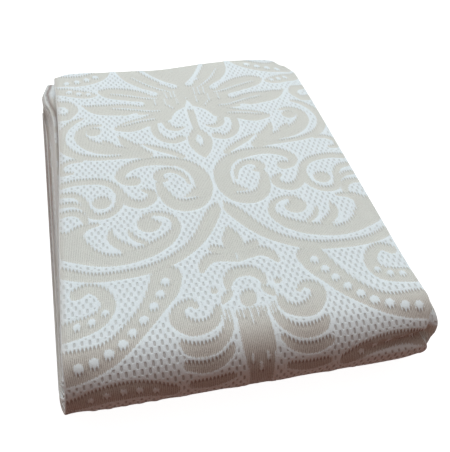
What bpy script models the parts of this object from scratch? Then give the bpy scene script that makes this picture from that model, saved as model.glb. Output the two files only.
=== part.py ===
"""A folded jacquard bedspread: one closed solid of its back-and-forth layers.

Metres, +Z up. The pack lies on z = 0 with its middle over the origin. Its last fold, where
every layer turns round at once, faces -Y, and the small folds and the two hems are at +Y.
"""
import math

import bpy
import numpy as np

# The pack before it settles
PACK_WIDTH = 0.312
PACK_LENGTH = 0.444
PACK_HEIGHT = 0.0650
LAYERS = 18
LAYER_THICK = 0.0028          # the cloth doubled by its widthwise folds

# Worked out from the sizes above
MM = 0.001
HALF_WIDTH = PACK_WIDTH / 2
PITCH = (PACK_HEIGHT - LAYER_THICK) / (LAYERS - 1)
FRONT_Y = -0.2193
TURN_Y = FRONT_Y + PACK_HEIGHT / 2
BACK_Y = FRONT_Y + PACK_LENGTH

# How finely the section and the width are stepped
RUN_STEPS = 6
BACK_TURN_STEPS = 4
FRONT_TURN_STEPS = 11
SPANS = (-1.0, -0.985, -0.94, -0.75, -0.42, -0.05, 0.27, 0.5, 0.69, 0.84, 0.94, 0.985, 1.0)
RIM_THICK = 0.45              # share of the thickness left at a side rim
RIM_SPAN = 0.06               # the rounded part, as a share of half the width

# How far each layer's side edges stand out from the pack's width, in mm
EDGES = (
    # layer, left at back, left at front, right at back, right at front
    (1, 18.0, 8.5, -2.0, -5.0),
    (2, 19.5, 10.5, 0.0, -4.0),
    (3, 18.0, 9.5, -2.5, -1.0),
    (4, 18.5, 10.5, -1.0, 3.0),
    (5, 14.0, 7.0, -4.0, 8.0),
    (6, 12.5, 5.0, -2.5, 13.0),
    (7, 14.0, 6.0, -1.0, 15.0),
    (8, 13.0, 5.0, -2.0, 15.5),
    (9, 9.0, 3.0, -3.5, 14.5),
    (10, 8.0, 0.0, -1.5, 12.5),
    (11, 6.5, -2.5, -0.5, 10.0),
    (12, 4.0, -4.0, -2.0, 7.0),
    (13, 0.0, -4.5, -3.0, 3.5),
    (14, -3.0, -3.5, -1.5, 1.0),
    (15, -4.5, -2.0, -3.0, 0.0),
    (16, -3.5, -0.5, -1.5, 0.5),
    (17, -4.0, 0.5, -1.0, 0.0),
    (18, -3.5, 0.5, 0.0, 1.0),
)

# How far each fold or hem at the back stands out from the pack's length, in mm
BACK_FOLDS = (
    # lower layer, upper layer, standing out
    (1, 1, -7.0),
    (2, 3, -3.0),
    (4, 5, 2.0),
    (6, 7, -1.5),
    (8, 9, -5.0),
    (10, 10, -10.0),
    (11, 12, 11.0),
    (13, 14, 9.0),
    (15, 16, -3.0),
    (17, 18, 0.0),
)

# Where the top of the pack lies higher or lower, in mm
SWELLS = (
    # middle x, middle y, spread x, spread y, rise
    (70.0, 195.0, 52.0, 60.0, 2.0),
    (-70.0, 60.0, 80.0, 120.0, 1.5),
    (60.0, -60.0, 80.0, 90.0, 1.2),
    (-20.0, 185.0, 30.0, 50.0, -2.4),
    (150.0, 205.0, 34.0, 60.0, -3.0),
    (150.0, -200.0, 42.0, 36.0, 4.0),
)
EDGE_DROOP = 0.045            # share of the height lost at the two long edges
EDGE_REACH = 0.14             # how far in from a long edge the droop runs, of half the width

# The dent that the last fold has across its right end
PINCH_DEEP = 0.015
PINCH_IN = 0.30               # how far the dent draws the edge in, as a share of its depth
PINCH_Z = 0.0430
PINCH_TALL = 0.0080
PINCH_FROM_X = 0.035
PINCH_REACH = 0.065

# The lobe of cloth that stands out of the left edge at the back
LOBE_OUT = 0.0240
LOBE_Y = 0.2050
LOBE_LONG = 0.0280
LOBE_Z = 0.0460
LOBE_TALL = 0.0115

# Rounded corners, and the uneven lie of the back edge and of the last fold
BACK_RIGHT_CORNER = 0.009
BACK_LEFT_CORNER = 0.003
FRONT_CORNER = 0.0025
FRONT_CORNER_REACH = 0.030
CORNER_REACH = 0.040
BACK_WAVE = 0.0020
FRONT_BULGE = 0.0028          # how far the right half of the last fold stands forward

# The middle of the settled pack, which goes over the origin
MIDDLE_X = -0.0026
MIDDLE_Y = 0.0082

CLOTH_COLOR = (0.62, 0.66, 0.65, 1.0)


def clear_scene():
    for thing in list(bpy.data.objects):
        bpy.data.objects.remove(thing, do_unlink=True)


def ease(t):
    """0 below 0 and 1 above 1, with an even bend between."""
    t = np.clip(t, 0.0, 1.0)
    return t * t * (3.0 - 2.0 * t)


def bell(t):
    return np.exp(-t * t)


def layer_order():
    """The layers in the order the cloth runs through them, from the inner hem to the lower one."""
    order = [LAYERS // 2 + 1]
    while len(order) < LAYERS:
        across = LAYERS + 1 - order[-1]
        order.append(across)
        if len(order) < LAYERS:
            order.append(across - 1 if across <= LAYERS // 2 else across + 1)
    return order


def layer_z(layer):
    return LAYER_THICK / 2 + (layer - 1) * PITCH


def back_y(layer):
    """Where a layer's straight run ends at the back."""
    for lower, upper, out in BACK_FOLDS:
        if layer in (lower, upper):
            return BACK_Y - PITCH / 2 - LAYER_THICK / 2 + out * MM
    raise ValueError(layer)


def run(layer, towards_front):
    """Points of one straight layer: y, z, way of the cloth in y and z, its layer twice and 0."""
    ys = np.linspace(back_y(layer), TURN_Y, RUN_STEPS)
    if not towards_front:
        ys = ys[::-1]
    way = -1.0 if towards_front else 1.0
    return [(y, layer_z(layer), way, 0.0, layer, layer, 0.0) for y in ys]


def turn(leaving, entering, at_front):
    """Points of a half turn between two layers, without its two ends."""
    middle_z = (layer_z(leaving) + layer_z(entering)) / 2
    radius = abs(layer_z(leaving) - layer_z(entering)) / 2
    centre_y = TURN_Y if at_front else back_y(leaving)
    outward = -1.0 if at_front else 1.0
    rising = 1.0 if entering > leaving else -1.0
    steps = FRONT_TURN_STEPS if at_front else BACK_TURN_STEPS
    points = []
    for share in np.arange(1, steps) / steps:
        angle = math.pi * share
        points.append((centre_y + outward * radius * math.sin(angle),
                       middle_z - rising * radius * math.cos(angle),
                       outward * math.cos(angle),
                       rising * math.sin(angle),
                       leaving, entering, float(ease(share))))
    return points


def section():
    """The cloth through the pack, seen from the side, and the run that each point is in."""
    order = layer_order()
    points = []
    run_of = []
    for place, layer in enumerate(order):
        towards_front = place % 2 == 0
        points += run(layer, towards_front)
        if place + 1 < LAYERS:
            points += turn(layer, order[place + 1], towards_front)
        run_of += [place] * (len(points) - len(run_of))
    return np.array(points), run_of


def edge_shift(path, side):
    """How far the side edge stands out at each point of the path: side 1 is left, side 3 is right."""
    table = np.array(EDGES)
    share = (path[:, 0] - FRONT_Y) / PACK_LENGTH
    shifts = []
    for column in (4, 5):
        row = table[path[:, column].astype(int) - 1]
        shifts.append(row[:, side + 1] + (row[:, side] - row[:, side + 1]) * share)
    return ((1.0 - path[:, 6]) * shifts[0] + path[:, 6] * shifts[1]) * MM


def settle(points):
    """Moves the even pack to where its own weight and handling have left it."""
    x, y, z = points.T.copy()
    across = x / HALF_WIDTH
    right = ease(across * 0.5 + 0.5)
    left = 1.0 - right

    rise = np.zeros_like(z)
    for at_x, at_y, wide, long, high in SWELLS:
        rise += high * MM * bell((x / MM - at_x) / wide) * bell((y / MM - at_y) / long)
    droop = EDGE_DROOP * ease((np.abs(across) - 1.0 + EDGE_REACH) / EDGE_REACH)
    new_z = z * (1.0 + rise / PACK_HEIGHT) * (1.0 - droop)

    at_front = 1.0 - ease((y - FRONT_Y) / PINCH_REACH)
    at_back = ease((y - BACK_Y) / (3 * CORNER_REACH) + 1.0)
    near_right = ease((x - HALF_WIDTH) / CORNER_REACH + 1.0) ** 2
    near_left = ease((-x - HALF_WIDTH) / CORNER_REACH + 1.0) ** 2

    pinch = PINCH_DEEP * ease((x - PINCH_FROM_X) / (HALF_WIDTH - PINCH_FROM_X))
    pinch *= bell((z - PINCH_Z) / PINCH_TALL) * at_front
    front = (FRONT_CORNER * (near_left + near_right) - FRONT_BULGE * right) * at_front
    back = BACK_WAVE * np.sin(across * 4.4 - 0.6)
    back -= BACK_RIGHT_CORNER * near_right + BACK_LEFT_CORNER * near_left

    lobe = LOBE_OUT * left ** 3 * bell((y - LOBE_Y) / LOBE_LONG) * bell((z - LOBE_Z) / LOBE_TALL)
    nose = 1.0 - ease((y - FRONT_Y) / FRONT_CORNER_REACH)
    rounding = FRONT_CORNER * (near_left - near_right) * nose
    new_x = x - lobe - PINCH_IN * pinch + rounding
    new_y = y + pinch + front + back * at_back
    return np.stack([new_x - MIDDLE_X, new_y - MIDDLE_Y, new_z], axis=1)


def rim_thickness(span):
    """The layer's thickness at this place across its width, thinner at a rounded rim."""
    inside = min(1.0, (1.0 - abs(span)) / RIM_SPAN)
    return LAYER_THICK * (RIM_THICK + (1.0 - RIM_THICK) * math.sqrt(1.0 - (1.0 - inside) ** 2))


def quad(a, b, c, d, mirrored):
    """Two triangles of a quad, split the other way where the cloth runs the other way."""
    if mirrored:
        return [(a, b, d), (b, c, d)]
    return [(a, b, c), (a, c, d)]


def faces_of_sheet(length, width, run_of):
    """Triangles of a closed sheet whose two faces are grids of length by width points.

    run_of gives the run of the cloth that each row belongs to: runs that lie on each other
    are split alike, so that they keep clear of each other.
    """
    under = length * width
    faces = []
    for i in range(length - 1):
        mirrored = run_of[i] // 2 % 2 == 1
        for j in range(width - 1):
            a = i * width + j
            b, c, d = a + 1, a + width + 1, a + width
            faces += quad(a, b, c, d, mirrored)
            faces += [face[::-1] for face in quad(under + a, under + b, under + c, under + d, mirrored)]
        left = i * width
        right = left + width - 1
        faces += quad(left, left + width, under + left + width, under + left, mirrored)
        faces += quad(right + width, right, under + right, under + right + width, mirrored)
    for j in range(width - 1):
        last = (length - 1) * width + j
        faces += quad(j + 1, j, under + j, under + j + 1, False)
        faces += quad(last, last + 1, under + last + 1, under + last, False)
    return faces


def cloth_material():
    material = bpy.data.materials.new("bleached cotton jacquard")
    material.use_nodes = True
    shader = material.node_tree.nodes["Principled BSDF"]
    shader.inputs["Base Color"].default_value = CLOTH_COLOR
    shader.inputs["Roughness"].default_value = 0.9
    shader.inputs["Metallic"].default_value = 0.0
    material.diffuse_color = CLOTH_COLOR
    return material


def bedspread():
    path, run_of = section()
    left_edge = -HALF_WIDTH - edge_shift(path, 1)
    right_edge = HALF_WIDTH + edge_shift(path, 3)
    normal = np.stack([-path[:, 3], path[:, 2]], axis=1)
    sides = []
    for side in (1.0, -1.0):
        grid = np.zeros((len(path), len(SPANS), 3))
        for j, span in enumerate(SPANS):
            grid[:, j, 0] = left_edge + (right_edge - left_edge) * (span + 1.0) / 2
            grid[:, j, 1:] = path[:, :2] + side * normal * rim_thickness(span) / 2
        sides.append(settle(grid.reshape(-1, 3)))
    points = np.concatenate(sides)
    mesh = bpy.data.meshes.new("bedspread")
    mesh.from_pydata(points.tolist(), [], faces_of_sheet(len(path), len(SPANS), run_of))
    mesh.validate()
    mesh.materials.append(cloth_material())
    mesh.shade_smooth()
    mesh.set_sharp_from_angle(angle=math.radians(50))
    cloth = bpy.data.objects.new("bedspread", mesh)
    bpy.context.scene.collection.objects.link(cloth)
    return cloth


def main():
    clear_scene()
    bedspread()


main()
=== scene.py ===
import math

import bpy
import numpy as np
from mathutils import Matrix, Vector


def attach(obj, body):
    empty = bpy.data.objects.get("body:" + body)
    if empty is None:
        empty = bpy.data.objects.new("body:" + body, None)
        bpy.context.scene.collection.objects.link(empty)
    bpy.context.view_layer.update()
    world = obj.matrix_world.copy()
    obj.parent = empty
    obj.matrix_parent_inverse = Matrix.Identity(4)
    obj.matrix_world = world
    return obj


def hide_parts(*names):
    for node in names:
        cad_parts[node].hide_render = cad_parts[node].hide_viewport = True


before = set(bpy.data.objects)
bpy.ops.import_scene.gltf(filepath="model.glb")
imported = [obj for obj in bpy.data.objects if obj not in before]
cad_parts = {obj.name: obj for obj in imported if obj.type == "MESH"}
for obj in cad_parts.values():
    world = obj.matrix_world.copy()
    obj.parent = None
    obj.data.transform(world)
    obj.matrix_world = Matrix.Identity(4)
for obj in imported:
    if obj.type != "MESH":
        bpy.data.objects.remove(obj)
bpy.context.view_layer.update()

# A folded jacquard bedspread of bleached and unbleached cotton. One long cloth runs back and
# forth through the pack; the figure is woven in the unbleached yarn on a white dimpled ground.

MM = 0.001

# The pack before it settles, as in the part's source
PACK_WIDTH = 0.312
PACK_LENGTH = 0.444
PACK_HEIGHT = 0.0650
LAYERS = 18
LAYER_THICK = 0.0028
HALF_WIDTH = PACK_WIDTH / 2
PITCH = (PACK_HEIGHT - LAYER_THICK) / (LAYERS - 1)
FRONT_Y = -0.2193
TURN_Y = FRONT_Y + PACK_HEIGHT / 2
BACK_Y = FRONT_Y + PACK_LENGTH

# The hem at each end of the cloth. Its layer's straight run stops HEM_REACH short of the end.
HEM_WIDE = 0.014
HEM_THICKER = 0.20
HEM_REACH = 1.2 * HEM_WIDE

# The outer wrap meets the inner folds inside this layer, halfway along the pack
JOIN_LAYER = 17
JOIN_Y = 0.0

# How finely the sheets are cut up: metres from row to row, rows in a half turn, columns across
TOP_STEP = 0.0017
HIDDEN_STEP = 0.012
INNER_STEP = 0.020
WRAP_FRONT_ROWS = 64
WRAP_BACK_ROWS = 12
TONGUE_ROWS = 32
INNER_FRONT_ROWS = 12
INNER_BACK_ROWS = 8
WRAP_COLUMNS = 232
WRAP_UNDER_COLUMNS = 14
INNER_COLUMNS = 80

# How far each layer's side edges stand out from the pack's width, in mm
EDGES = (
    # layer, left at back, left at front, right at back, right at front
    (1, 18.0, 10.0, -2.0, -5.0),
    (2, 19.5, 8.5, 0.0, -4.0),
    (3, 18.0, 8.0, -2.5, -1.0),
    (4, 18.5, 9.0, -1.0, 0.0),
    (5, 14.0, 7.0, -4.0, 0.5),
    (6, 12.5, 5.0, -2.5, 0.5),
    (7, 14.0, 6.0, -1.0, 1.0),
    (8, 13.0, 5.0, -2.0, 1.5),
    (9, 8.5, 3.0, -3.5, 2.0),
    (10, 7.0, 0.0, -1.5, 2.0),
    (11, 6.5, -2.5, -0.5, 2.0),
    (12, 5.5, -4.0, -2.0, 1.5),
    (13, 4.0, -4.5, -3.0, 1.0),
    (14, 2.5, -4.0, -1.5, 1.0),
    (15, -4.5, -2.0, -3.0, 0.0),
    (16, -3.5, -0.5, -1.5, 0.5),
    (17, -4.0, 0.5, -1.0, 0.0),
    (18, -3.5, 0.5, 0.0, -1.0),
)
LEFT = 1                      # the first of each side's two columns
RIGHT = 3

# From this layer up the left edges are also drawn in, in mm, most at this share of the length
WAIST_LAYER = 15
WAIST_IN = 3.5
WAIST_SHARE = 0.70
WAIST_LONG = 0.25

# How far each fold or hem at the back stands out from the pack's length, in mm
BACK_FOLDS = (
    # lower layer, upper layer, standing out
    (1, 1, -7.0),
    (2, 3, -3.0),
    (4, 5, 2.0),
    (6, 7, -1.5),
    (8, 9, -5.0),
    (10, 10, -10.0),
    (11, 12, 11.0),
    (13, 14, 9.0),
    (15, 16, -3.0),
    (17, 18, 0.0),
)

# Where the top of the pack lies higher or lower, in mm
SWELLS = (
    # middle x, middle y, spread x, spread y, rise
    (70.0, 195.0, 52.0, 60.0, 2.0),
    (-70.0, 60.0, 80.0, 120.0, 1.5),
    (60.0, -60.0, 80.0, 90.0, 1.2),
    (-20.0, 185.0, 30.0, 50.0, -2.4),
    (150.0, 205.0, 34.0, 60.0, -3.0),
    (150.0, -200.0, 42.0, 36.0, 4.0),
)

# The long edges droop by a share of their height, over the outer share of the half width
EDGE_DROOP = 0.045
EDGE_REACH = 0.14

# The dent across the right end of the last fold, which draws the cloth in by a share of its depth
PINCH_DEEP = 0.0085
PINCH_IN = 0.30
PINCH_Z = 0.0430
PINCH_TALL = 0.0050
PINCH_REACH = 0.065           # how far back from the front it runs
PINCH_FROM_X = 0.060
PINCH_ENDS_X = 0.150
PINCH_FADE = 0.008

# The lobe at the left back corner; the layers above it follow by a share
LOBE_OUT = 0.0105
LOBE_Y = 0.2050
LOBE_LONG = 0.0280
LOBE_Z = 0.0460
LOBE_TALL = 0.0170
LOBE_TOP_LAYER = 14
LOBE_ABOVE = 0.12

# At the right of the front the wrap draws in, and the fold inside it shows as a tongue
WRAP_IN = 0.009
WRAP_IN_Z = 0.049
WRAP_IN_TALL = 0.012
TONGUE_LAYER = 17
TONGUE_OUT = 0.0080
TONGUE_Z = 0.052
TONGUE_TALL = 0.012

# The corners' rounding, the back's wave and the front's bulge
CORNER_REACH = 0.040
BACK_RIGHT_CORNER = 0.009
BACK_RIGHT_IN = 0.009
BACK_LEFT_CORNER = 0.003
FRONT_CORNER = 0.0025
FRONT_CORNER_REACH = 0.030
BACK_WAVE = 0.0020
BACK_WAVE_TURN = 4.4          # the wave's radians over half the width
BACK_WAVE_START = -0.6        # and its radians at the middle
FRONT_BULGE = 0.0028

# The middle of the settled pack
MIDDLE_X = -0.0026
MIDDLE_Y = 0.0082

# The weave's relief and its shaded edges
RIB = 3.1 * MM                # one rib across the cloth
DIMPLE_ACROSS = 2.0           # the ground's dimples are 6.2 mm apart across the cloth and 10.3 mm
DIMPLE_ALONG = 3.33           # along it, given here in ribs, and stand in staggered rows
DIMPLE_DEEP = 0.40 * MM
DIMPLE_BLEND = 0.5            # ribs over which they get their full depth
FIGURE_SUNK = 0.60 * MM       # the plain figure lies this much below the puffed ground
FIGURE_BLEND = 1.6            # ribs over which it sinks
BEAD_DEPTH = 0.6              # ribs; ground this near the figure has no dimples, nor have beads and rims
EDGE_FLAT = 6.0 * MM          # beside a side edge the relief is pressed flat
SIDE_SEEN = 10.0 * MM         # how far in from a side edge the covered layers can be seen
GROOVE_OUT = 1.6 * MM         # the shaded groove on a layer beside the edge of the layer above it
GROOVE_WIDE = 1.8 * MM
GROOVE_STEP = 2.0 * MM        # only a layer that stands out more than this has one
SLUBS = 4.2                   # slubs in the width of one rib, so each is about 0.7 mm thick

# Round the front fold and under the pack the cloth's colour holds painted shade. From the top's front end,
# in ribs along the cloth:
FOLD_MIDDLE = -16.0
FOLD_UNDER = -23.0
FOLD_SHADE_FULL = 2.0               # the painted shade is full within this distance of the middle
FOLD_SHADE_ENDS = 28.0            # and there is none from this distance on

# Where the figure lies on the pack, in ribs. Its middle line is right of the pack's middle, and is
# drawn to the left at the back fold and at the front fold. At the front the cloth also lies askew:
# its right half sits further back, by a share of the distance out.
AXIS = 0.8
BACK_PULL = 2.4
BACK_PULL_FROM = 114.0
BACK_PULL_LONG = 20.0
FRONT_PULL = 1.1
FRONT_PULL_FROM = 14.0
FRONT_PULL_LONG = 12.0
FRONT_SKEW = 0.02
FRONT_SKEW_FROM = 22.0
FRONT_SKEW_LONG = 24.0

# The charted length of cloth, in ribs from the front fold. Past its ends the figure turns over, as
# it does across the middle line.
CHART_START = -18.0
CHART_END = 132.0
CHART_FAR = 4.0               # ribs from the figure's outline beyond which it makes no difference

GREIGE = 1.0
WHITE = -1.0

# The damask, charted on its right half: each stroke is a smooth line through
# (ribs out from the middle, ribs along the cloth, half its width in ribs). Later strokes
# cover earlier ones.
CHART = (
    # plume and shells at the front fold
    (GREIGE, (0.0, -18.0, 3.0), (0.0, -12.0, 3.4), (0.0, -8.0, 4.2), (0.0, -4.0, 4.4), (0.0, 0.2, 4.3)),
    (GREIGE, (0.0, 3.4, 1.4), (3.2, 3.2, 1.3)),
    (GREIGE, (6.4, 4.6, 0.9), (6.6, 1.5, 1.2), (7.7, -1.4, 1.5), (10.2, -3.9, 1.7), (14.0, -4.9, 1.9),
     (17.8, -4.2, 1.7), (19.6, -2.4, 0.9)),
    (GREIGE, (6.9, -5.4, 0.8), (8.4, -7.2, 1.2), (11.2, -8.8, 1.5), (15.0, -9.4, 1.6), (19.0, -8.4, 1.3)),
    (GREIGE, (8.0, -13.5, 1.2), (13.0, -14.6, 1.8), (18.0, -14.2, 1.4)),
    (GREIGE, (8.8, 6.5, 0.9), (9.6, 3.6, 1.6), (12.3, 1.6, 2.0), (16.4, 1.6, 2.5), (19.6, 4.6, 2.3),
     (19.4, 8.0, 1.8), (16.4, 9.6, 1.2), (14.6, 8.0, 0.8)),
    (WHITE, (7.9, 3.8, 0.3), (8.4, 1.6, 0.45), (9.5, -0.2, 0.5), (11.2, -1.6, 0.55), (14.2, -2.4, 0.55),
     (17.2, -2.0, 0.55), (20.0, -0.5, 0.6), (21.6, 1.4, 0.7)),
    (WHITE, (5.0, 0.0, 0.4), (6.2, -2.9, 0.5), (7.7, -4.4, 0.5), (9.2, -5.7, 0.5), (11.0, -6.8, 0.45),
     (13.0, -7.2, 0.3), (16.0, -7.4, 0.25), (19.4, -6.4, 0.4)),
    (WHITE, (4.8, 5.4, 0.45), (4.8, -3.0, 0.45), (5.4, -7.0, 0.6), (6.4, -8.6, 0.5), (9.8, -10.6, 0.45),
     (13.0, -11.4, 0.5), (16.0, -11.4, 0.5), (19.7, -10.6, 0.5)),
    (WHITE, (0.0, 5.4, 0.35), (0.0, 0.4, 0.3)),
    (WHITE, (2.0, 5.4, 0.35), (2.0, 2.4, 0.25)),
    (WHITE, (3.4, 5.4, 0.3), (3.3, 3.2, 0.25)),
    (WHITE, (6.1, 5.8, 0.3), (6.0, 2.0, 0.25)),
    (WHITE, (7.2, 5.4, 0.3), (7.0, 2.6, 0.25)),
    (WHITE, (2.0, -8.4, 0.35), (2.2, -10.2, 0.4)),
    (WHITE, (4.0, -9.0, 0.4), (4.5, -11.4, 0.45)),
    (WHITE, (0.0, -10.8, 0.4), (0.0, -12.6, 0.6)),
    (GREIGE, (24.0, -14.8, 2.2), (30.0, -12.8, 2.5), (36.0, -12.2, 2.7), (42.0, -12.6, 2.5),
     (48.0, -14.2, 2.4), (54.0, -15.4, 2.4)),
    (WHITE, (28.0, -13.6, 0.9)),
    (WHITE, (32.0, -12.6, 0.9)),
    (WHITE, (36.0, -12.2, 0.9)),
    (WHITE, (40.2, -12.4, 0.9)),
    (WHITE, (44.4, -13.4, 0.9)),
    # flower with its disc and arch
    (GREIGE, (0.0, 7.4, 2.2), (0.0, 8.6, 2.3)),
    (GREIGE, (4.7, 10.9, 0.8), (6.1, 9.4, 1.3), (7.2, 7.8, 0.6)),
    (GREIGE, (9.2, 12.3, 1.1)),
    (GREIGE, (0.0, 17.6, 1.9), (2.6, 17.2, 1.9), (4.7, 14.9, 1.5), (5.2, 12.2, 0.7)),
    # three-lobed leaf
    (GREIGE, (0.0, 35.6, 0.4), (0.0, 33.0, 1.8), (0.0, 30.5, 2.9), (0.0, 28.0, 3.0), (0.0, 25.5, 2.8)),
    (GREIGE, (3.0, 26.0, 1.8), (6.2, 27.6, 1.5)),
    (GREIGE, (0.0, 23.3, 2.1), (4.0, 24.0, 1.9), (7.5, 24.2, 1.9), (10.0, 22.3, 1.6), (11.2, 19.7, 0.8)),
    (WHITE, (0.0, 24.4, 0.35), (0.0, 22.6, 0.35)),
    # beaded band
    (GREIGE, (21.5, 19.4, 4.4), (22.8, 15.8, 4.4), (25.2, 11.8, 3.8), (28.0, 7.6, 3.4), (31.4, 3.8, 3.2),
     (35.0, 0.4, 3.2), (39.2, -2.0, 3.4), (43.8, -3.2, 4.0), (48.5, -3.6, 4.6), (54.0, -3.6, 4.8)),
    (WHITE, (22.0, 18.0, 1.3)),
    (WHITE, (24.0, 14.0, 1.3)),
    (WHITE, (26.1, 10.3, 1.3)),
    (WHITE, (28.8, 6.5, 1.3)),
    (WHITE, (31.8, 3.2, 1.3)),
    (WHITE, (34.6, 0.3, 1.4)),
    (WHITE, (38.3, -1.7, 1.4)),
    (WHITE, (42.2, -3.4, 1.4)),
    (WHITE, (46.3, -4.2, 1.4)),
    # corner scroll
    (GREIGE, (46.3, 18.2, 2.0), (43.0, 19.3, 1.6), (39.7, 17.2, 1.9), (38.2, 13.2, 2.1), (39.9, 9.4, 2.5),
     (43.5, 7.5, 2.8), (48.5, 6.9, 3.0), (54.0, 6.6, 3.0)),
    (WHITE, (39.0, 10.7, 1.0)),
    (WHITE, (42.4, 8.4, 1.1)),
    (WHITE, (46.2, 7.9, 1.1)),
    # ogee band
    (GREIGE, (0.8, 46.4, 0.9), (2.7, 43.4, 2.1), (4.8, 39.8, 2.4), (7.4, 35.5, 2.3), (10.4, 31.6, 2.1),
     (14.6, 28.0, 1.9), (19.5, 25.2, 1.8), (25.0, 23.4, 1.7), (31.0, 22.6, 1.6), (38.0, 22.5, 1.6),
     (44.0, 23.6, 1.7), (51.0, 27.4, 1.9)),
    # acanthus scroll and its leaves
    (GREIGE, (24.5, 45.2, 0.6), (20.4, 45.3, 0.9), (16.9, 43.6, 1.1), (15.4, 40.4, 1.2), (16.0, 37.2, 1.6),
     (18.8, 33.9, 2.2), (23.2, 31.2, 2.6), (28.4, 29.5, 2.7), (34.0, 28.9, 2.8), (40.0, 30.3, 3.2),
     (45.5, 34.0, 4.2), (50.5, 38.6, 4.6)),
    (GREIGE, (46.0, 36.0, 3.6), (46.0, 40.2, 2.8), (43.0, 43.0, 1.6), (38.8, 43.8, 0.7)),
    (GREIGE, (23.4, 41.4, 3.7)),
    (GREIGE, (25.6, 33.6, 1.0), (28.4, 35.8, 1.1), (29.9, 39.2, 0.5)),
    (GREIGE, (30.6, 32.2, 1.6), (33.8, 34.9, 1.6), (35.3, 38.0, 1.2), (35.0, 40.8, 0.4)),
    (WHITE, (26.4, 32.9, 0.4), (29.2, 34.6, 0.7), (31.6, 37.6, 1.1)),
    (WHITE, (33.2, 30.9, 0.5), (36.8, 32.2, 1.0), (39.6, 35.2, 1.5)),
    (WHITE, (21.6, 43.8, 0.7), (19.4, 42.2, 1.0)),
    # heart scroll
    (GREIGE, (25.7, 61.7, 2.3), (28.4, 61.9, 1.6), (29.9, 65.0, 1.7), (27.0, 68.8, 2.0), (21.5, 70.8, 2.1),
     (14.5, 70.4, 2.3), (8.6, 68.0, 2.6), (4.8, 63.8, 2.8), (3.6, 58.8, 3.0), (4.4, 53.6, 3.4),
     (7.0, 49.6, 3.8), (10.8, 47.9, 3.3), (14.6, 49.6, 2.6), (16.8, 54.0, 1.9), (17.7, 58.6, 1.2),
     (17.2, 60.6, 0.7)),
    (GREIGE, (8.0, 57.5, 0.5), (8.6, 60.6, 0.8), (10.3, 63.5, 1.1), (13.3, 65.3, 1.3), (16.3, 64.8, 1.5),
     (17.6, 62.5, 1.7), (16.5, 60.8, 1.3), (15.0, 60.6, 0.6)),
    (WHITE, (6.7, 55.6, 0.4), (6.9, 60.0, 0.5), (8.5, 64.0, 0.6), (11.5, 66.7, 0.7)),
    (WHITE, (6.6, 50.8, 0.3), (10.2, 50.6, 0.5), (13.0, 51.8, 0.5), (14.2, 54.0, 0.5)),
    (WHITE, (0.0, 62.0, 0.5), (0.0, 54.0, 0.4), (0.0, 50.0, 1.6)),
    (WHITE, (0.0, 50.0, 1.6), (0.0, 44.0, 0.4)),
    # thin scroll and its curled end
    (GREIGE, (52.0, 64.2, 1.5), (43.0, 64.3, 1.5), (36.5, 63.4, 1.5), (32.6, 60.6, 1.4), (30.6, 56.4, 1.5),
     (28.6, 52.4, 1.8), (24.9, 50.3, 1.9), (21.4, 52.0, 1.8), (20.8, 55.0, 1.4), (23.0, 56.8, 0.8)),
    (GREIGE, (31.0, 55.5, 1.2), (31.8, 50.8, 1.3), (35.3, 47.4, 1.3), (39.4, 47.6, 1.4), (41.6, 51.2, 1.3),
     (42.6, 55.4, 1.2), (45.6, 58.6, 1.2), (52.0, 60.2, 1.2)),
    (GREIGE, (36.8, 53.3, 2.9)),
    (GREIGE, (42.8, 52.0, 0.8), (46.0, 54.3, 1.1), (52.0, 55.3, 1.2)),
    (GREIGE, (42.2, 45.4, 1.0), (43.4, 48.8, 1.4), (47.0, 50.6, 1.3), (52.0, 50.2, 1.3)),
    # drop under the stem, and the stem
    (GREIGE, (0.0, 70.4, 0.4), (0.0, 73.5, 2.3), (0.0, 77.5, 3.9), (0.0, 80.6, 4.2), (0.0, 83.6, 3.1),
     (0.0, 86.6, 1.6), (0.0, 90.0, 1.2), (0.0, 95.0, 1.4), (0.0, 99.5, 1.2)),
    (WHITE, (0.0, 77.6, 0.4), (0.0, 80.5, 1.3), (0.0, 83.4, 0.4)),
    # side scrolls of the palmette
    (GREIGE, (15.0, 92.5, 1.3), (14.9, 87.5, 1.4), (13.0, 83.2, 1.5), (9.5, 81.0, 1.4), (6.6, 82.2, 1.8)),
    (GREIGE, (10.4, 92.6, 1.3), (9.3, 89.4, 1.5), (6.9, 88.1, 1.2), (4.5, 88.8, 0.6)),
    # upper acanthus
    (GREIGE, (19.6, 80.0, 1.1), (15.2, 77.4, 1.4), (11.0, 74.8, 1.4), (8.0, 72.0, 1.2)),
    (GREIGE, (20.0, 74.4, 1.1), (28.0, 74.9, 1.1), (36.0, 75.7, 1.3), (42.5, 77.9, 1.6), (46.6, 82.2, 1.7),
     (48.6, 88.0, 1.8), (47.6, 93.6, 1.8), (44.0, 98.0, 1.4), (40.5, 100.0, 0.7)),
    (GREIGE, (42.0, 75.6, 1.0), (46.6, 75.4, 1.2), (49.2, 73.4, 1.2), (48.6, 70.4, 1.2), (45.4, 69.4, 0.7)),
    (GREIGE, (23.5, 79.0, 2.4), (26.2, 82.8, 1.7), (28.0, 86.6, 0.6)),
    (GREIGE, (20.4, 77.4, 2.2), (22.4, 80.6, 1.0)),
    (GREIGE, (32.0, 82.0, 2.0), (33.6, 84.6, 0.9)),
    (GREIGE, (20.0, 75.0, 2.4), (28.0, 78.0, 2.8), (34.0, 80.4, 3.0), (39.0, 84.0, 2.8), (41.4, 88.5, 2.2),
     (40.8, 92.6, 1.6), (37.6, 95.0, 1.1), (34.0, 94.6, 0.6)),
    (GREIGE, (36.7, 91.2, 2.6)),
    (WHITE, (28.8, 76.2, 0.3), (34.6, 77.0, 0.6), (39.4, 79.2, 0.8), (43.0, 83.6, 0.9), (45.0, 88.5, 1.0),
     (44.2, 93.2, 1.0), (41.0, 96.6, 0.8), (37.0, 97.0, 0.5)),
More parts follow.
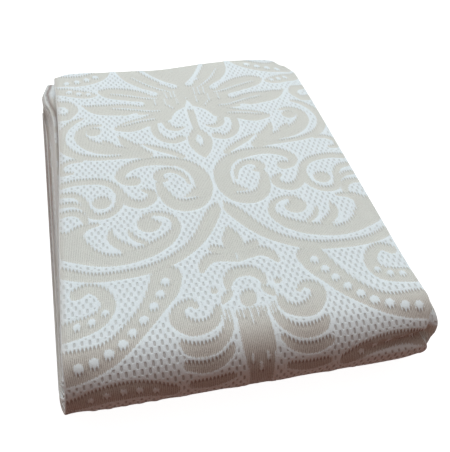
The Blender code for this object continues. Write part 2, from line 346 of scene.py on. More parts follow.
    (WHITE, (20.6, 80.0, 0.6), (18.0, 77.0, 0.7), (14.0, 74.2, 0.7), (10.0, 71.8, 0.5)),
    # palmette
    (GREIGE, (28.0, 91.6, 1.4), (23.0, 92.3, 3.4), (17.0, 94.6, 3.0), (10.0, 98.0, 4.0), (3.0, 104.0, 5.0)),
    (GREIGE, (39.4, 108.4, 0.6), (34.0, 105.0, 3.0), (27.0, 103.8, 3.8), (18.0, 103.0, 4.0),
     (6.0, 106.0, 6.0)),
    (GREIGE, (31.6, 117.0, 1.6), (28.0, 115.6, 3.8), (21.0, 113.6, 4.4), (12.0, 111.0, 5.0),
     (4.0, 112.0, 5.0)),
    (GREIGE, (21.0, 133.0, 2.0), (17.4, 126.0, 3.8), (12.6, 120.0, 3.8), (6.0, 114.0, 5.0)),
    (GREIGE, (0.0, 136.0, 12.0), (0.0, 124.0, 7.0), (0.0, 114.0, 4.0)),
    (GREIGE, (14.0, 134.0, 8.0), (10.0, 126.0, 5.0)),
    (WHITE, (13.5, 133.0, 1.0), (9.6, 126.6, 0.9), (5.8, 121.6, 1.0), (3.2, 118.4, 1.5)),
    (WHITE, (26.5, 121.0, 0.9), (20.0, 118.4, 0.8), (15.0, 116.2, 1.2), (12.0, 113.8, 1.6)),
    (WHITE, (38.0, 109.4, 1.2), (30.0, 109.2, 0.9), (23.0, 108.2, 1.1), (18.0, 106.8, 1.5)),
    (WHITE, (34.0, 97.0, 1.2), (28.0, 97.4, 0.8), (20.6, 99.6, 1.0)),
    (WHITE, (17.4, 126.6, 0.3), (13.0, 121.0, 0.4), (8.8, 117.2, 0.4), (6.2, 115.2, 0.3)),
    (WHITE, (28.5, 115.4, 0.3), (22.0, 113.3, 0.4), (15.6, 111.0, 0.4), (11.6, 110.4, 0.3)),
    (WHITE, (28.8, 105.2, 0.3), (22.0, 103.5, 0.4), (15.4, 101.4, 0.4), (11.6, 101.4, 0.3)),
    (WHITE, (26.0, 93.4, 0.3), (19.6, 95.2, 0.4), (14.0, 96.0, 0.3)),
    # white lobes beside the stem
    (WHITE, (0.0, 106.4, 0.3), (0.0, 103.5, 1.2), (0.0, 101.5, 1.6)),
    (WHITE, (1.8, 101.0, 1.0), (4.2, 97.5, 2.2), (6.0, 93.8, 2.0), (5.2, 91.2, 1.4), (3.0, 90.0, 1.2)),
    # dashes round the palmette's heart
    (WHITE, (4.0, 110.5, 0.3), (4.0, 115.0, 0.3)),
    (WHITE, (5.6, 110.5, 0.3), (5.6, 115.0, 0.3)),
    (WHITE, (7.4, 110.5, 0.3), (7.8, 114.5, 0.3)),
    (WHITE, (3.8, 105.5, 0.3), (3.8, 109.0, 0.3)),
    (WHITE, (8.6, 105.5, 0.3), (8.6, 109.5, 0.3)),
    (WHITE, (12.4, 106.0, 0.3), (12.4, 109.5, 0.3)),
    (WHITE, (6.2, 102.4, 0.3), (7.8, 105.0, 0.3)),
    # beaded bands of the back corners
    (GREIGE, (26.5, 134.0, 2.4), (30.0, 129.4, 3.2), (34.6, 126.9, 3.6), (40.0, 126.0, 3.8),
     (45.0, 127.6, 3.6), (51.0, 132.0, 3.4)),
    (WHITE, (31.5, 128.4, 1.2)),
    (WHITE, (35.3, 126.8, 1.2)),
    (WHITE, (39.3, 125.7, 1.2)),
    (WHITE, (43.4, 125.2, 1.2)),
    (GREIGE, (35.0, 115.2, 1.2), (38.0, 115.8, 2.5), (42.5, 117.6, 2.6), (47.0, 120.6, 2.2),
     (52.0, 124.5, 2.0)),
    (WHITE, (37.0, 116.2, 1.0)),
    (WHITE, (40.4, 117.0, 1.1)),
    (WHITE, (43.8, 118.8, 1.1)),
    (GREIGE, (45.5, 102.0, 1.8), (43.2, 106.0, 1.8), (45.0, 110.2, 1.8), (49.0, 112.5, 1.8)),
    (GREIGE, (45.5, 102.0, 1.8), (50.0, 103.5, 2.4)),
)


def ease(t):
    """0 below 0 and 1 above 1, with an even bend between."""
    t = np.clip(t, 0.0, 1.0)
    return t * t * (3.0 - 2.0 * t)


def bell(t):
    """1 at 0, falling away evenly on both sides."""
    return np.exp(-t * t)


def layer_order():
    """The layers in the order the cloth runs through them, from the inner hem to the lower one."""
    order = [LAYERS // 2 + 1]
    while len(order) < LAYERS:
        across = LAYERS + 1 - order[-1]
        order.append(across)
        if len(order) < LAYERS:
            order.append(across - 1 if across <= LAYERS // 2 else across + 1)
    return order


def layer_z(layer):
    """The height of a layer's middle."""
    return LAYER_THICK / 2 + (layer - 1) * PITCH


def back_y(layer):
    """Where a layer's straight run ends at the back."""
    for lower, upper, out in BACK_FOLDS:
        if layer in (lower, upper):
            return BACK_Y - PITCH / 2 - LAYER_THICK / 2 + out * MM
    raise ValueError(layer)


# The path of the cloth is a list of rows: y, z, its way in y and z, the layer it leaves and the one
# it enters, how far it is between them, and its thickness as a share of the layers' thickness.


def run(layer, start, end, step):
    """Rows of a straight layer."""
    count = max(2, round(abs(end - start) / step) + 1)
    way = 1.0 if end > start else -1.0
    return [(y, layer_z(layer), way, 0.0, layer, layer, 0.0, 1.0) for y in np.linspace(start, end, count)]


def hem(layer, way):
    """Rows of a hem at the back: it has a round end, is a little thicker and its stitches sink in."""
    thick = 1.0 + HEM_THICKER
    profile = []
    for angle in np.linspace(0.12, math.pi / 2, 6)[:-1]:
        profile.append((LAYER_THICK / 2 * thick * (1.0 - math.sin(angle)), thick * math.sin(angle)))
    profile += [(HEM_WIDE * share, thick) for share in (0.2, 0.4, 0.6, 0.8)]
    profile += [(HEM_WIDE * 0.92, 0.9), (HEM_WIDE, 1.06)]
    lift = LAYER_THICK / 2 * HEM_THICKER
    rows = [(back_y(layer) - inward, layer_z(layer) + lift, way, 0.0, layer, layer, 0.0, thickness)
            for inward, thickness in profile]
    return rows if way < 0 else rows[::-1]


def turn(leaving, entering, at_front, steps):
    """Rows of a half turn between two layers, without its two ends."""
    middle_z = (layer_z(leaving) + layer_z(entering)) / 2
    radius = abs(layer_z(leaving) - layer_z(entering)) / 2
    centre_y = TURN_Y if at_front else back_y(leaving)
    outward = -1.0 if at_front else 1.0
    rising = 1.0 if entering > leaving else -1.0
    rows = []
    for share in np.arange(1, steps) / steps:
        angle = math.pi * share
        rows.append((centre_y + outward * radius * math.sin(angle),
                     middle_z - rising * radius * math.cos(angle),
                     outward * math.cos(angle),
                     rising * math.sin(angle),
                     leaving, entering, float(ease(share)), 1.0))
    return rows


def edge_shift(path, side):
    """How far the LEFT or RIGHT edge stands out at each row of the path."""
    edges = np.array(EDGES)
    share = (path[:, 0] - FRONT_Y) / PACK_LENGTH
    waist = WAIST_IN * bell((share - WAIST_SHARE) / WAIST_LONG) * (side == LEFT)
    shifts = []
    for column in (4, 5):
        row = edges[path[:, column].astype(int) - 1]
        straight = row[:, side + 1] + (row[:, side] - row[:, side + 1]) * share
        shifts.append(straight - waist * (row[:, 0] >= WAIST_LAYER))
    return ((1.0 - path[:, 6]) * shifts[0] + path[:, 6] * shifts[1]) * MM


def front_right_shift(path):
    """At the front turns: how far the inner tongue stands out and the wrap draws in, on the right."""
    outer = np.maximum(path[:, 4], path[:, 5])
    bent = np.abs(path[:, 3])
    tongue = TONGUE_OUT * bell((path[:, 1] - TONGUE_Z) / TONGUE_TALL) * (outer == TONGUE_LAYER)
    drawn = WRAP_IN * bell((path[:, 1] - WRAP_IN_Z) / WRAP_IN_TALL) * (outer == LAYERS)
    return bent * (tongue - drawn)


def settle(points, in_lobe):
    """Moves the even pack's points to where weight and handling have left them.

    in_lobe says how far each point goes along with the lobe at the left back corner.
    """
    x, y, z = points.T.copy()
    across = x / HALF_WIDTH
    right = ease(across * 0.5 + 0.5)
    left = 1.0 - right

    rise = np.zeros_like(z)
    for at_x, at_y, wide, long, high in SWELLS:
        rise += high * MM * bell((x / MM - at_x) / wide) * bell((y / MM - at_y) / long)
    droop = EDGE_DROOP * ease((np.abs(across) - 1.0 + EDGE_REACH) / EDGE_REACH)
    new_z = z * (1.0 + rise / PACK_HEIGHT) * (1.0 - droop)

    at_front = 1.0 - ease((y - FRONT_Y) / PINCH_REACH)
    at_back = ease((y - BACK_Y) / (3 * CORNER_REACH) + 1.0)
    near_right = ease((x - HALF_WIDTH) / CORNER_REACH + 1.0) ** 2
    near_left = ease((-x - HALF_WIDTH) / CORNER_REACH + 1.0) ** 2

    pinch = PINCH_DEEP * ease((x - PINCH_FROM_X) / (HALF_WIDTH - PINCH_FROM_X))
    pinch *= bell((z - PINCH_Z) / PINCH_TALL) * at_front
    pinch *= 1.0 - ease((x - PINCH_ENDS_X) / PINCH_FADE)
    front = (FRONT_CORNER * (near_left + near_right) - FRONT_BULGE * right) * at_front
    back = BACK_WAVE * np.sin(across * BACK_WAVE_TURN + BACK_WAVE_START)
    back -= BACK_RIGHT_CORNER * near_right + BACK_LEFT_CORNER * near_left

    lobe = LOBE_OUT * left ** 3 * bell((y - LOBE_Y) / LOBE_LONG) * bell((z - LOBE_Z) / LOBE_TALL)
    nose = 1.0 - ease((y - FRONT_Y) / FRONT_CORNER_REACH)
    rounding = FRONT_CORNER * (near_left - near_right) * nose
    heel = ease((y - BACK_Y) / CORNER_REACH + 1.0) ** 3
    new_x = x - lobe * in_lobe - PINCH_IN * pinch + rounding - BACK_RIGHT_IN * near_right * heel
    new_y = y + pinch + front + back * at_back
    return np.stack([new_x - MIDDLE_X, new_y - MIDDLE_Y, new_z], axis=1)


def smooth_line(points, step=0.5):
    """Points close together on a smooth line through the charted ones."""
    points = np.array(points, float)
    if len(points) == 1:
        return points
    ends = np.vstack([2 * points[0] - points[1], points, 2 * points[-1] - points[-2]])
    line = []
    for a, b, c, d in zip(ends, ends[1:], ends[2:], ends[3:]):
        count = max(2, int(np.hypot(*(c - b)[:2]) / step) + 1)
        for t in np.arange(count) / count:
            line.append(0.5 * (2 * b + (c - a) * t + (2 * a - 5 * b + 4 * c - d) * t ** 2
                               + (3 * b - a - 3 * c + d) * t ** 3))
    line.append(points[-1])
    return np.array(line)


def figure_at(across, along):
    """How many ribs inside the greige figure each point of the cloth is; minus on the ground."""
    charted = CHART_END - CHART_START
    turned = (along - CHART_START) % (2 * charted)
    place = CHART_START + np.minimum(turned, 2 * charted - turned)
    pull = BACK_PULL * ease((place - BACK_PULL_FROM) / BACK_PULL_LONG)
    pull += FRONT_PULL * ease((FRONT_PULL_FROM - place) / FRONT_PULL_LONG)
    out = across - AXIS + pull
    place = place - FRONT_SKEW * out * ease((FRONT_SKEW_FROM - place) / FRONT_SKEW_LONG)
    out = np.abs(out)
    depth = np.full(len(out), -CHART_FAR)
    for colour, *points in CHART:
        line = smooth_line(points)
        low = line[:, :2].min(0) - line[:, 2].max() - CHART_FAR
        high = line[:, :2].max(0) + line[:, 2].max() + CHART_FAR
        near = np.nonzero((out > low[0]) & (out < high[0]) & (place > low[1]) & (place < high[1]))[0]
        # A few thousand points at a time, because every point meets the whole line
        for part in np.array_split(near, max(1, len(near) // 4000)):
            away = np.hypot(out[part, None] - line[:, 0], place[part, None] - line[:, 1])
            inside = (line[:, 2] - away).max(1)
            if colour == GREIGE:
                depth[part] = np.maximum(depth[part], inside)
            elif len(points) == 1:
                depth[part] = np.minimum(depth[part], -np.minimum(inside, BEAD_DEPTH))
            else:
                depth[part] = np.minimum(depth[part], -inside)
    return np.clip(depth, -CHART_FAR, CHART_FAR)


# A sheet's side edges as distances in and heights, in half thicknesses: the left one is one round
# fold, the right one two rounded plies with a slit between them
FOLD_RIM = [(1.0 - math.sin(t), math.cos(t)) for t in np.linspace(0.0, math.pi, 9)]
PLIES_RIM = ([(0.5 - 0.5 * math.sin(t), 0.5 + 0.5 * math.cos(t)) for t in np.linspace(0.0, math.pi, 6)]
             + [(0.9 - 0.5 * math.sin(t), -0.5 + 0.5 * math.cos(t))
                for t in np.linspace(0.0, math.pi, 6)[1:]])


def ring(face_columns, back_columns):
    """The outline of the sheet's cross-section.

    Each point is a share of the width, then a distance in and a height in half thicknesses.
    """
    points = []
    for share in np.linspace(0.0, 1.0, face_columns):
        points.append((share, 1.0 - 2.0 * share, 1.0))
    points += [(1.0, -inset, height) for inset, height in PLIES_RIM[1:-1]]
    for share in np.linspace(1.0, 0.0, back_columns):
        points.append((share, 1.0 - 2.0 * share, -1.0))
    points += [(0.0, inset, -height) for inset, height in FOLD_RIM[1:-1]]
    return np.array(points)


def outer_face_way(path):
    """Which way the cloth's outer face looks in y and z, at each row."""
    return np.stack([path[:, 3], -path[:, 2]], axis=1)


def relief(across, along, figure, with_dimples):
    """How far the cloth lies below its puffed ground: over the plain figure and in the dimples."""
    sunk = FIGURE_SUNK * ease(figure / FIGURE_BLEND + 0.5)
    if with_dimples:
        dimples = np.cos(2 * math.pi * across / DIMPLE_ACROSS)
        dimples *= np.cos(2 * math.pi * along / DIMPLE_ALONG)
        sunk += DIMPLE_DEEP * ease(dimples) * ease((-figure - BEAD_DEPTH) / DIMPLE_BLEND)
    return sunk


def side_shades(path, outline, x, left_edge, from_side):
    """Two shares of shade along the side edges: where cloth is tucked in, and in the grooves.

    A layer is shaded where others cover it, most near the top and bottom of its rim, and a little
    along its left edge, the top one too. A groove runs on a layer beside the left edge of the
    layer above, if that one is drawn in. Both are weak in the turns, which stand free.
    """
    not_turning = 1.0 - 0.8 * ease(np.abs(path[:, 3:4]))
    covered = (path[:, 4:5] != LAYERS) | (outline[:, 2] < 0.0)
    on_rim = np.abs(outline[:, 2]) < 0.999
    tucked = (0.15 + 0.85 * ease(np.abs(outline[:, 2]) * 2.0 - 1.0)) * on_rim
    tucked = np.maximum(tucked, 0.3 * ease(1.5 - from_side / SIDE_SEEN)) * covered
    along_left = 0.45 * ease(1.0 - from_side / EDGE_FLAT) * (outline[:, 0] < 0.5)
    tucked = np.maximum(tucked, along_left) * not_turning

    above = path.copy()
    above[:, 4:6] = np.minimum(path[:, 4:6] + 1, LAYERS)
    above_edge = -HALF_WIDTH - edge_shift(above, LEFT)
    groove = bell((above_edge[:, None] - x - GROOVE_OUT) / GROOVE_WIDE) * covered
    groove *= ease((above_edge - left_edge - GROOVE_STEP) / GROOVE_STEP)[:, None]
    return tucked, groove * not_turning


def sheet_mesh(name, path, along, face_columns, back_columns):
    """A closed sheet lofted along the path, with its relief and with what its weave is drawn from."""
    outline = ring(face_columns, back_columns)
    rows = len(path)
    count = len(outline)
    half = path[:, 7] * LAYER_THICK / 2
    left_edge = -HALF_WIDTH - edge_shift(path, LEFT)
    right_edge = HALF_WIDTH + edge_shift(path, RIGHT) + front_right_shift(path)
    width = right_edge - left_edge
    x = left_edge[:, None] + width[:, None] * outline[:, 0] + half[:, None] * outline[:, 1]
    from_side = np.minimum(outline[:, 0], 1.0 - outline[:, 0]) * width[:, None]
    across = x / RIB
    lies_along = np.repeat(along[:, None], count, axis=1)
    figure = figure_at(across.ravel(), lies_along.ravel()).reshape(rows, count)

    # Dimples need several columns to a rib, and a hem's rolled end has no relief
    sunk = relief(across, lies_along, figure, width.max() / face_columns < RIB / 2)
    sunk *= ease(from_side / EDGE_FLAT) * (path[:, 7:] > 0.85)
    height = half[:, None] * outline[:, 2] - sunk * np.sign(outline[:, 2])
    way = outer_face_way(path)
    grid = np.stack([x, path[:, 0:1] + way[:, 0:1] * height, path[:, 1:2] + way[:, 1:2] * height], axis=2)
    above_lobe = np.minimum(path[:, 4], path[:, 5]) > LOBE_TOP_LAYER
    in_lobe = np.repeat(np.where(above_lobe, LOBE_ABOVE, 1.0), count)
    points = settle(grid.reshape(-1, 3), in_lobe)

    # The rims are plain ground. The comb is where a piece of ground ends towards the front.
    figure = np.where(np.abs(outline[:, 2]) < 0.999, -BEAD_DEPTH, figure)
    comb = np.clip(-np.gradient(figure, axis=0) / np.gradient(lies_along, axis=0), 0.0, 1.0)
    tucked, groove = side_shades(path, outline, x, left_edge, from_side)

    faces = []
    for i in range(rows - 1):
        for j in range(count):
            k = (j + 1) % count
            faces.append((i * count + j, (i + 1) * count + j, (i + 1) * count + k, i * count + k))
    faces.append(tuple(range(count)))
    faces.append(tuple((rows - 1) * count + j for j in range(count))[::-1])

    mesh = bpy.data.meshes.new(name)
    mesh.from_pydata(points.tolist(), [], faces)
    for label, values in (("across", across), ("along", lies_along), ("figure", figure), ("comb", comb),
                          ("tucked", tucked), ("groove", groove)):
        layer = mesh.attributes.new(label, "FLOAT", "POINT")
        layer.data.foreach_set("value", values.ravel().astype(np.float32))
    mesh.shade_smooth()
    mesh.set_sharp_from_angle(angle=math.radians(65))
    piece = bpy.data.objects.new(name, mesh)
    bpy.context.scene.collection.objects.link(piece)
    return piece


def path_length(path):
    """Metres along the path to each of its rows."""
    steps = np.hypot(*np.diff(path[:, :2], axis=0).T)
    return np.concatenate([[0.0], np.cumsum(steps)])


def outer_wrap():
    """The cloth that shows: out of the join, over the top, round the front and under the pack."""
    rows = run(JOIN_LAYER, JOIN_Y, back_y(JOIN_LAYER), HIDDEN_STEP)
    rows += turn(JOIN_LAYER, LAYERS, False, WRAP_BACK_ROWS)
    rows += run(LAYERS, back_y(LAYERS), TURN_Y, TOP_STEP)
    top_ends = len(rows) - 1
    rows += turn(LAYERS, 1, True, WRAP_FRONT_ROWS)
    rows += run(1, TURN_Y, back_y(1) - HEM_REACH, HIDDEN_STEP) + hem(1, 1.0)
    path = np.array(rows)
    outer_face = path[:, :2] + outer_face_way(path) * LAYER_THICK / 2
    lengths = path_length(outer_face)
    along = (lengths[top_ends] - lengths) / RIB
    piece = sheet_mesh("bedspread_outer_wrap", path, along, WRAP_COLUMNS, WRAP_UNDER_COLUMNS)
    return piece, path_length(path)[-1], along


def inner_folds(join_along):
    """The hidden layers, whose folds show at the back and whose edges show at the sides."""
    order = layer_order()
    rows = hem(order[0], -1.0) + run(order[0], back_y(order[0]) - HEM_REACH, TURN_Y, INNER_STEP)
    for place, (layer, following) in enumerate(zip(order, order[1:order.index(JOIN_LAYER) + 1])):
        if place % 2 == 0:
            in_tongue = TONGUE_LAYER in (layer, following)
            rows += turn(layer, following, True, TONGUE_ROWS if in_tongue else INNER_FRONT_ROWS)
            end = JOIN_Y if following == JOIN_LAYER else back_y(following)
            rows += run(following, TURN_Y, end, INNER_STEP)
        else:
            rows += turn(layer, following, False, INNER_BACK_ROWS)
            rows += run(following, back_y(following), TURN_Y, INNER_STEP)
    path = np.array(rows)
    lengths = path_length(path)
    along = join_along + (lengths[-1] - lengths) / RIB
    return sheet_mesh("bedspread_inner_folds", path, along, INNER_COLUMNS, INNER_COLUMNS), lengths[-1]


def linear(hex_colour):
    """An sRGB hex colour as the linear values that Blender mixes."""
    parts = [int(hex_colour[i:i + 2], 16) / 255 for i in (1, 3, 5)]
    return tuple(c / 12.92 if c <= 0.04045 else ((c + 0.055) / 1.055) ** 2.4 for c in parts) + (1.0,)


def add(tree, kind, feeds, output=0, **settings):
    """Adds a node with its settings, feeds its inputs with links or values, and gives an output."""
    made = tree.nodes.new("ShaderNode" + kind)
    for name, value in settings.items():
        setattr(made, name, value)
    for place, value in feeds.items():
        if isinstance(value, bpy.types.NodeSocket):
            tree.links.new(value, made.inputs[place])
        else:
            made.inputs[place].default_value = value
    return made.outputs[output]


BLEACHED = linear("#EAF1F4")
UNBLEACHED = linear("#E2E2DB")
SLUB_SHADE = linear("#BDBBB3")
HOLLOW_SHADE = linear("#A7A39C")
FRONT_HOLLOW_SHADE = linear("#75523F")       # painted shade in the hollows at the front fold, browner and darker
# Painted shade on the yarn round the front fold and under the pack
FRONT_PAINTED_SHADE = linear("#A08070")
TUCKED_SHADE = linear("#C3BAB2")
GROOVE_SHADE = linear("#6A4638")


def cotton_jacquard():
    """Jacquard double cloth of two cottons, bleached and unbleached, piece washed.

    The bleached ground puffs up between staggered dimples; it is cool white, with grey painted shade in the
    dimples.
    The figure is plain weave of unbleached yarn, flat, finely ribbed and a little darker. Cotton
    yarn is matt, with a faint bloom of fibre ends at grazing angles.
    """
    material = bpy.data.materials.new("cotton jacquard, bleached and unbleached")
    material.use_nodes = True
    tree = material.node_tree
    shader = tree.nodes["Principled BSDF"]
    across = add(tree, "Attribute", {}, "Fac", attribute_name="across")
    along = add(tree, "Attribute", {}, "Fac", attribute_name="along")
    figure = add(tree, "Attribute", {}, "Fac", attribute_name="figure")
    comb = add(tree, "Attribute", {}, "Fac", attribute_name="comb")
    tucked = add(tree, "Attribute", {}, "Fac", attribute_name="tucked")
    groove = add(tree, "Attribute", {}, "Fac", attribute_name="groove")

    # Yarn: slubs about 0.7 mm thick and twice as long, because single yarns are too fine to show
    half_along = add(tree, "Math", {0: along, 1: 0.5}, operation="MULTIPLY")
    cloth_place = add(tree, "CombineXYZ", {0: across, 1: half_along})
    slub = add(tree, "TexNoise", {"Vector": cloth_place, "Scale": SLUBS, "Detail": 4.0, "Roughness": 0.7})

    # One rib is 3.1 mm. Where the ground ends towards the front, its ribs run on into the figure as
    # the teeth of a comb, because whole ribs go over or under. The slubs roughen every outline.
    rib_turn = add(tree, "Math", {0: across, 1: 2 * math.pi}, operation="MULTIPLY")
    rib = add(tree, "Math", {0: rib_turn}, operation="COSINE")
    teeth = add(tree, "Math", {0: comb, 1: 0.36, 2: 0.10}, operation="MULTIPLY_ADD")
    combed = add(tree, "Math", {0: rib, 1: teeth, 2: figure}, operation="MULTIPLY_ADD")
    combed = add(tree, "Math", {0: comb, 1: -0.14, 2: combed}, operation="MULTIPLY_ADD")
    combed = add(tree, "Math", {0: slub, 1: 1.6, 2: combed}, operation="MULTIPLY_ADD")
    combed = add(tree, "Math", {0: combed, 1: -0.8}, operation="ADD")
    in_figure = add(tree, "MapRange", {0: combed, 1: -0.25, 2: 0.15, 3: 0.0, 4: 1.0},
                    interpolation_type="SMOOTHSTEP")

    # Long oval dimples of the ground, as in its relief. Beads and thin lines have none.
    dimple_turn = add(tree, "Math", {0: across, 1: 2 * math.pi / DIMPLE_ACROSS}, operation="MULTIPLY")
    dimple_row = add(tree, "Math", {0: dimple_turn}, operation="COSINE")
    narrow_row = add(tree, "Math", {0: dimple_row, 1: 3.0}, operation="POWER")
    pick_turn = add(tree, "Math", {0: along, 1: 2 * math.pi / DIMPLE_ALONG}, operation="MULTIPLY")
    pick = add(tree, "Math", {0: pick_turn}, operation="COSINE")
    lattice = add(tree, "Math", {0: narrow_row, 1: pick}, operation="MULTIPLY")
    dot = add(tree, "MapRange", {0: lattice, 1: -0.05, 2: 0.40, 3: 0.0, 4: 1.0},
              interpolation_type="SMOOTHSTEP")
    open_ground = add(tree, "MapRange", {0: figure, 1: -BEAD_DEPTH, 2: -BEAD_DEPTH - 0.4, 3: 0.0, 4: 1.0})
    dimple = add(tree, "Math", {0: dot, 1: open_ground}, operation="MULTIPLY")

    # The figure's own ribs are 1.6 mm, half as wide as those of the comb, and broken by the slubs
    fine_turn = add(tree, "Math", {0: across, 1: 4 * math.pi}, operation="MULTIPLY")
    fine_rib = add(tree, "Math", {0: fine_turn}, operation="COSINE")
    fine_valley = add(tree, "MapRange", {0: fine_rib, 1: 0.2, 2: -1.0, 3: 0.0, 4: 1.0})
    grain = add(tree, "MapRange", {0: slub, 1: 0.40, 2: 0.60, 3: 0.1, 4: 1.5})
    grainy = add(tree, "Math", {0: fine_valley, 1: grain}, operation="MULTIPLY")
    figure_valley = add(tree, "Math", {0: grainy, 1: in_figure}, operation="MULTIPLY")

    # Beside each comb tooth of the ground lies a notch of painted shadow, the shadow that the raised ground
    # casts towards the front
    before = add(tree, "MapRange", {0: figure, 1: -0.6, 2: 0.2, 3: 0.0, 4: 1.0})
    behind = add(tree, "MapRange", {0: figure, 1: 1.4, 2: 0.6, 3: 0.0, 4: 1.0})
    edge = add(tree, "Math", {0: before, 1: behind}, operation="MULTIPLY")
    valley = add(tree, "MapRange", {0: rib, 1: -0.1, 2: 0.8, 3: 0.0, 4: 1.0})
    beside_tooth = add(tree, "Math", {0: valley, 1: comb}, operation="MULTIPLY")
    notch = add(tree, "Math", {0: edge, 1: beside_tooth}, operation="MULTIPLY")

    # Painted shade round the front fold and from there under the pack: the yarn is painted browner
    # there, and its hollows darker
    from_fold = add(tree, "Math", {0: along, 1: FOLD_MIDDLE}, operation="SUBTRACT")
    from_fold = add(tree, "Math", {0: from_fold}, operation="ABSOLUTE")
    fold_shade = add(tree, "MapRange", {0: from_fold, 1: FOLD_SHADE_ENDS, 2: FOLD_SHADE_FULL, 3: 0.0, 4: 1.0},
                 interpolation_type="SMOOTHSTEP")
    under = add(tree, "MapRange", {0: along, 1: FOLD_MIDDLE, 2: FOLD_UNDER, 3: 0.0, 4: 0.55},
                interpolation_type="SMOOTHSTEP")

    yarn = add(tree, "Mix", {0: in_figure, 6: BLEACHED, 7: UNBLEACHED}, 2, data_type="RGBA")
    front_shade_share = add(tree, "Math", {0: in_figure, 1: 0.38, 2: 0.16}, operation="MULTIPLY_ADD")
    front_shade_share = add(tree, "Math", {0: front_shade_share, 1: fold_shade, 2: under}, operation="MULTIPLY_ADD")
    yarn = add(tree, "Mix", {0: front_shade_share, 6: yarn, 7: FRONT_PAINTED_SHADE}, 2, data_type="RGBA")

    # Painted shade in the hollows: the dimples, the figure's rib valleys and the notches are painted
    # darker, browner round the front fold
    hollow = add(tree, "Math", {0: figure_valley, 1: notch}, operation="ADD")
    hollow = add(tree, "Math", {0: dimple, 1: 0.82, 2: hollow}, operation="MULTIPLY_ADD")
    hollow = add(tree, "Math", {0: hollow, 1: 1.0}, operation="MINIMUM")
    strength = add(tree, "MapRange", {0: fold_shade, 1: 0.0, 2: 1.0, 3: 0.42, 4: 0.72})
    shade = add(tree, "Math", {0: hollow, 1: strength}, operation="MULTIPLY")
    dark = add(tree, "Mix", {0: fold_shade, 6: HOLLOW_SHADE, 7: FRONT_HOLLOW_SHADE}, 2, data_type="RGBA")
    colour = add(tree, "Mix", {0: shade, 6: yarn, 7: dark}, 2, data_type="RGBA")

    # Shaded edges and grooves at the sides, and the slubs' own uneven tone over everything
    colour = add(tree, "Mix", {0: tucked, 6: colour, 7: TUCKED_SHADE}, 2, data_type="RGBA")
    colour = add(tree, "Mix", {0: groove, 6: colour, 7: GROOVE_SHADE}, 2, data_type="RGBA")
    uneven = add(tree, "MapRange", {0: slub, 1: 0.35, 2: 0.65, 3: 0.0, 4: 0.24})
    colour = add(tree, "Mix", {0: uneven, 6: colour, 7: SLUB_SHADE}, 2, data_type="RGBA")
    tree.links.new(colour, shader.inputs["Base Color"])

    raised = add(tree, "Math", {0: dimple, 1: -0.6}, operation="MULTIPLY")
    raised = add(tree, "Math", {0: notch, 1: -0.8, 2: raised}, operation="MULTIPLY_ADD")
    raised = add(tree, "Math", {0: figure_valley, 1: -0.35, 2: raised}, operation="MULTIPLY_ADD")
    raised = add(tree, "Math", {0: slub, 1: 0.6, 2: raised}, operation="MULTIPLY_ADD")
    bump = add(tree, "Bump", {"Strength": 1.0, "Distance": 0.8 * MM, "Height": raised})
    tree.links.new(bump, shader.inputs["Normal"])
    shader.inputs["Roughness"].default_value = 0.92
    shader.inputs["Specular IOR Level"].default_value = 0.3
    shader.inputs["Sheen Weight"].default_value = 0.15
    shader.inputs["Sheen Roughness"].default_value = 0.5
    return material


def dress(piece, material):
    """Gives a sheet its material and says what it stands for."""
    piece.data.materials.append(material)
    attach(piece, "root")
    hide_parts("bedspread")


def photographers_camera():
    """The camera stands left of the middle and high in front, and is turned a little."""
    turn_left = math.radians(-15.21)
    tilt = math.radians(44.89)
    roll = math.radians(-3.41)
    level = math.cos(tilt)
    back = Vector((math.sin(turn_left) * level, -math.cos(turn_left) * level, math.sin(tilt)))
    side = back.cross(Vector((0.0, 0.0, -1.0))).normalized()
    up = back.cross(side)
    right = math.cos(roll) * side - math.sin(roll) * up
    top = math.sin(roll) * side + math.cos(roll) * up
    camera = bpy.data.objects.new("camera", bpy.data.cameras.new("camera"))
    bpy.context.scene.collection.objects.link(camera)
    turned = Matrix((right, top, back)).transposed().to_4x4()
    camera.matrix_world = Matrix.Translation((-0.1020, -0.4678, 0.4627)) @ turned
    # The focal length is 591.8 pixels of a frame whose longer side has 452
    camera.data.sensor_width = 36.0
    camera.data.lens = 591.8 / 452 * camera.data.sensor_width
    bpy.context.scene.camera = camera


def soft_lamp(name, place, size, power, colour):
    """A square lamp that looks at the pack's middle."""
    light = bpy.data.lights.new(name, "AREA")
    light.size = size
    light.energy = power
    light.color = linear(colour)[:3]
    lamp = bpy.data.objects.new(name, light)
    lamp.location = place
    lamp.rotation_euler = (-Vector(place)).to_track_quat("-Z", "Y").to_euler()
    bpy.context.scene.collection.objects.link(lamp)


def white_paper():
    """Bright matt paper, lit so evenly that the pack leaves hardly any shadow on it."""
    material = bpy.data.materials.new("white paper")
    material.use_nodes = True
    shader = material.node_tree.nodes["Principled BSDF"]
    shader.inputs["Base Color"].default_value = linear("#909090")
    shader.inputs["Roughness"].default_value = 0.95
    shader.inputs["Specular IOR Level"].default_value = 0.0
    shader.inputs["Emission Color"].default_value = linear("#FFFFFF")
    shader.inputs["Emission Strength"].default_value = 0.96
    return material


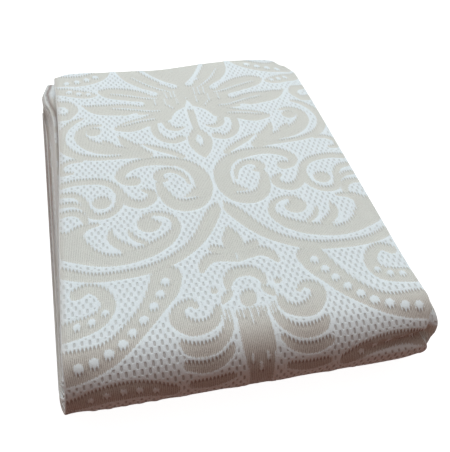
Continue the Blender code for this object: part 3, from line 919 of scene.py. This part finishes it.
def dim_room():
    """The room's own light: brown in front and darker brown below, grey above and behind."""
    world = bpy.data.worlds.new("dim room")
    bpy.context.scene.world = world
    world.use_nodes = True
    tree = world.node_tree
    way = add(tree, "TexCoord", {}, "Generated")
    up_and_back = add(tree, "VectorMath", {0: way, 1: (0.0, 0.55, 0.84)}, "Value", operation="DOT_PRODUCT")
    lit = add(tree, "MapRange", {0: up_and_back, 1: 0.0, 2: 0.9, 3: 0.0, 4: 1.0})
    rising = add(tree, "MapRange", {0: up_and_back, 1: -0.7, 2: 0.0, 3: 0.0, 4: 1.0})
    front = add(tree, "Mix", {0: rising, 6: linear("#6A3F30"), 7: linear("#7A5341")}, 2, data_type="RGBA")
    room = add(tree, "Mix", {0: lit, 6: front, 7: linear("#9CA8AB")}, 2, data_type="RGBA")
    tree.links.new(room, tree.nodes["Background"].inputs["Color"])
    tree.nodes["Background"].inputs["Strength"].default_value = 1.0


def studio():
    """White paper under a large soft lamp above the back, with a weak one at each side.

    The paper throws no light back on the cloth, so that the dim room shades the cloth's front and
    underside, and the upright paper lets the room's light in.
    """
    paper = white_paper()
    bpy.ops.mesh.primitive_plane_add(size=8.0, location=(0.0, 0.0, -0.3 * MM))
    floor = bpy.context.object
    floor.name = "floor"
    bpy.ops.mesh.primitive_cylinder_add(radius=3.9, depth=7.0, end_fill_type="NOTHING")
    backdrop = bpy.context.object
    backdrop.name = "backdrop"
    backdrop.visible_shadow = False
    for sheet in (floor, backdrop):
        sheet.visible_diffuse = False
        sheet.data.materials.append(paper)
    soft_lamp("softbox", (0.12, 1.3, 2.5), 2.1, 65.0, "#F4FBFF")
    soft_lamp("right fill", (1.6, 0.2, 0.5), 1.0, 5.0, "#F7F2EC")
    soft_lamp("left fill", (-1.6, 0.7, 0.45), 1.0, 5.0, "#F7F2EC")
    dim_room()
    bpy.context.scene.view_settings.view_transform = "Standard"


wrap, wrap_length, wrap_along = outer_wrap()
folds, folds_length = inner_folds(wrap_along[0])
cotton = cotton_jacquard()
dress(wrap, cotton)
dress(folds, cotton)
photographers_camera()
studio()
